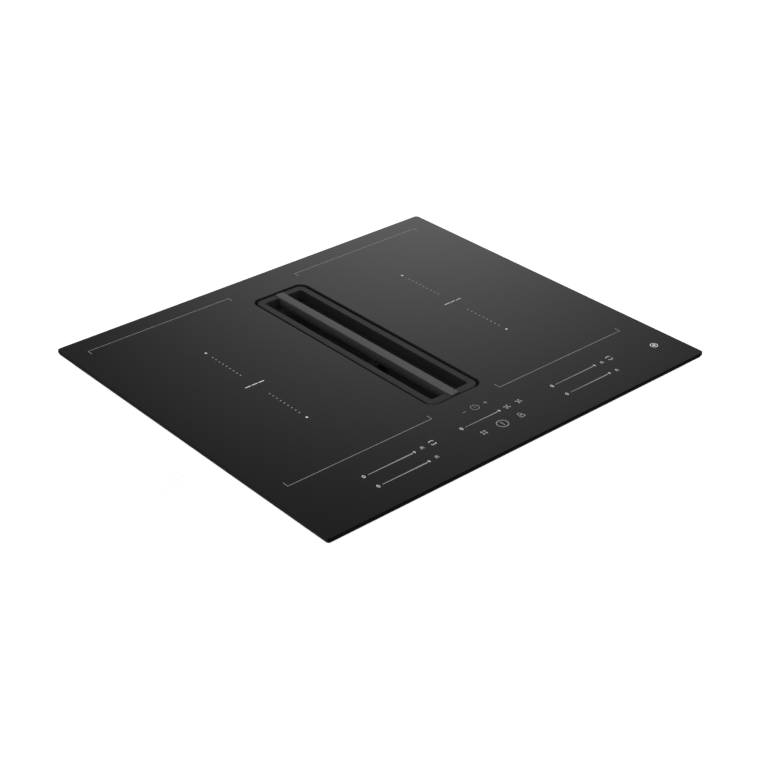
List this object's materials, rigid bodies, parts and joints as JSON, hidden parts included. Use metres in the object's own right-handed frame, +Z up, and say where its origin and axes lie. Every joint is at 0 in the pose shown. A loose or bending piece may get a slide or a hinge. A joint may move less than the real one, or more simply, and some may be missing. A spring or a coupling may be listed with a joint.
{
  "type": "downdraft induction cooktop",
  "caption": "Flat black glass cooktop with induction coils and a central air slot that draws vapour down to a built-in extractor with a flat duct outlet at the back.",
  "frame": {"origin": "under the middle of the glass plate, at the height of the lower housing's underside", "axes": "+X to the right of someone who cooks at it, +Y towards the wall behind, +Z up through the glass"},
  "size_m": [0.59, 0.52, 0.21],
  "materials": {
    "black_glass": "polished glass-ceramic with thin pale print",
    "vent_enamel": "satin black enamel",
    "wing_metal": "satin dark grey coating",
    "seal_rubber": "matte black foam and silicone",
    "zinc_sheet": "zinc-coated sheet",
    "black_plastic": "fine-grained black moulding",
    "grey_plastic": "matte grey moulding",
    "filter_metal": "dark coated mesh",
    "coil_copper": "lacquered copper wire",
    "ferrite_grey": "dark ferrite and plastic",
    "circuit_board": "green solder mask",
    "bare_aluminium": "bare sheet and extrusion",
    "bright_steel": "zinc-plated steel"
  },
  "bodies": {
    "root": {"glass_top": "black_glass", "rim_gasket": "seal_rubber", "slot_seal": "seal_rubber", "air_shaft": "black_plastic", "base_pan": "zinc_sheet", "coil_former_front_left": "ferrite_grey", "coil_former_front_right": "ferrite_grey", "coil_former_rear_left": "ferrite_grey", "coil_former_rear_right": "ferrite_grey", "coil_winding_front_left": "coil_copper", "coil_winding_front_right": "coil_copper", "coil_winding_rear_left": "coil_copper", "coil_winding_rear_right": "coil_copper", "coil_sensor_front_left": "grey_plastic", "coil_sensor_front_right": "grey_plastic", "coil_sensor_rear_left": "grey_plastic", "coil_sensor_rear_right": "grey_plastic", "coil_carrier_left": "bare_aluminium", "coil_carrier_right": "bare_aluminium", "power_board_left": "circuit_board", "power_board_right": "circuit_board", "heat_sink_left": "bare_aluminium", "heat_sink_right": "bare_aluminium", "fan_frame_left": "black_plastic", "fan_frame_right": "black_plastic", "control_holder": "black_plastic", "control_board": "circuit_board", "clamp_rivet_front_left": "bright_steel", "clamp_rivet_front_right": "bright_steel", "clamp_rivet_rear_left": "bright_steel", "clamp_rivet_rear_right": "bright_steel", "terminal_box": "grey_plastic", "terminal_block": "black_plastic", "terminal_cover": "grey_plastic", "cable_gland": "black_plastic", "lower_housing": "black_plastic", "blower_scroll": "grey_plastic", "scroll_cover": "grey_plastic", "damping_ring": "seal_rubber", "blower_motor": "bright_steel", "outlet_flange": "black_plastic"},
    "drip_tray": {"drip_tray": "black_plastic"},
    "filter": {"filter_basket": "filter_metal", "filter_mesh_left": "filter_metal", "filter_mesh_right": "filter_metal", "filter_handle": "filter_metal"},
    "vent": {"vent_frame": "vent_enamel", "vent_wing": "wing_metal", "wing_screw_front": "bright_steel", "wing_screw_rear": "bright_steel"},
    "impeller": {"blower_impeller": "black_plastic", "motor_shaft": "bright_steel"},
    "fan_left": {"fan_rotor_left": "black_plastic"},
    "fan_right": {"fan_rotor_right": "black_plastic"},
    "flap_upper": {"outlet_flap_upper": "grey_plastic"},
    "flap_lower": {"outlet_flap_lower": "grey_plastic"},
    "clamp_front_left": {"clamp_arm_front_left": "bright_steel"},
    "clamp_front_right": {"clamp_arm_front_right": "bright_steel"},
    "clamp_rear_left": {"clamp_arm_rear_left": "bright_steel"},
    "clamp_rear_right": {"clamp_arm_rear_right": "bright_steel"}
  },
  "joints": [
    {"name": "tray_lift", "type": "slide", "parent": "root", "child": "drip_tray", "axis": [0, 0, 1], "range_m": [0, 0.215]},
    {"name": "filter_lift", "type": "slide", "parent": "drip_tray", "child": "filter", "axis": [0, 0, 1], "range_m": [0, 0.17]},
    {"name": "vent_lift", "type": "slide", "parent": "filter", "child": "vent", "axis": [0, 0, 1], "range_m": [0, 0.06]},
    {"name": "impeller_spin", "type": "hinge", "parent": "root", "child": "impeller", "pos_m": [0.152, 0.02, 0.05], "axis": [0, 0, 1], "continuous": true},
    {"name": "fan_left_spin", "type": "hinge", "parent": "root", "child": "fan_left", "pos_m": [-0.195, -0.195, 0.157], "axis": [0, 0, 1], "continuous": true},
    {"name": "fan_right_spin", "type": "hinge", "parent": "root", "child": "fan_right", "pos_m": [0.195, -0.195, 0.157], "axis": [0, 0, 1], "continuous": true},
    {"name": "flap_upper_swing", "type": "hinge", "parent": "root", "child": "flap_upper", "pos_m": [0.149, 0.2243, 0.0999], "axis": [1, 0, 0], "range_deg": [0, 75]},
    {"name": "flap_lower_swing", "type": "hinge", "parent": "root", "child": "flap_lower", "pos_m": [0.149, 0.2243, 0.0574], "axis": [1, 0, 0], "range_deg": [0, 75]},
    {"name": "clamp_front_left_swing", "type": "hinge", "parent": "root", "child": "clamp_front_left", "pos_m": [-0.255, -0.233, 0.147], "axis": [0, 0, -1], "range_deg": [0, 90]},
    {"name": "clamp_front_right_swing", "type": "hinge", "parent": "root", "child": "clamp_front_right", "pos_m": [0.255, -0.233, 0.147], "axis": [0, 0, 1], "range_deg": [0, 90]},
    {"name": "clamp_rear_left_swing", "type": "hinge", "parent": "root", "child": "clamp_rear_left", "pos_m": [-0.255, 0.233, 0.147], "axis": [0, 0, 1], "range_deg": [0, 90]},
    {"name": "clamp_rear_right_swing", "type": "hinge", "parent": "root", "child": "clamp_rear_right", "pos_m": [0.255, 0.233, 0.147], "axis": [0, 0, -1], "range_deg": [0, 90]}
  ]
}
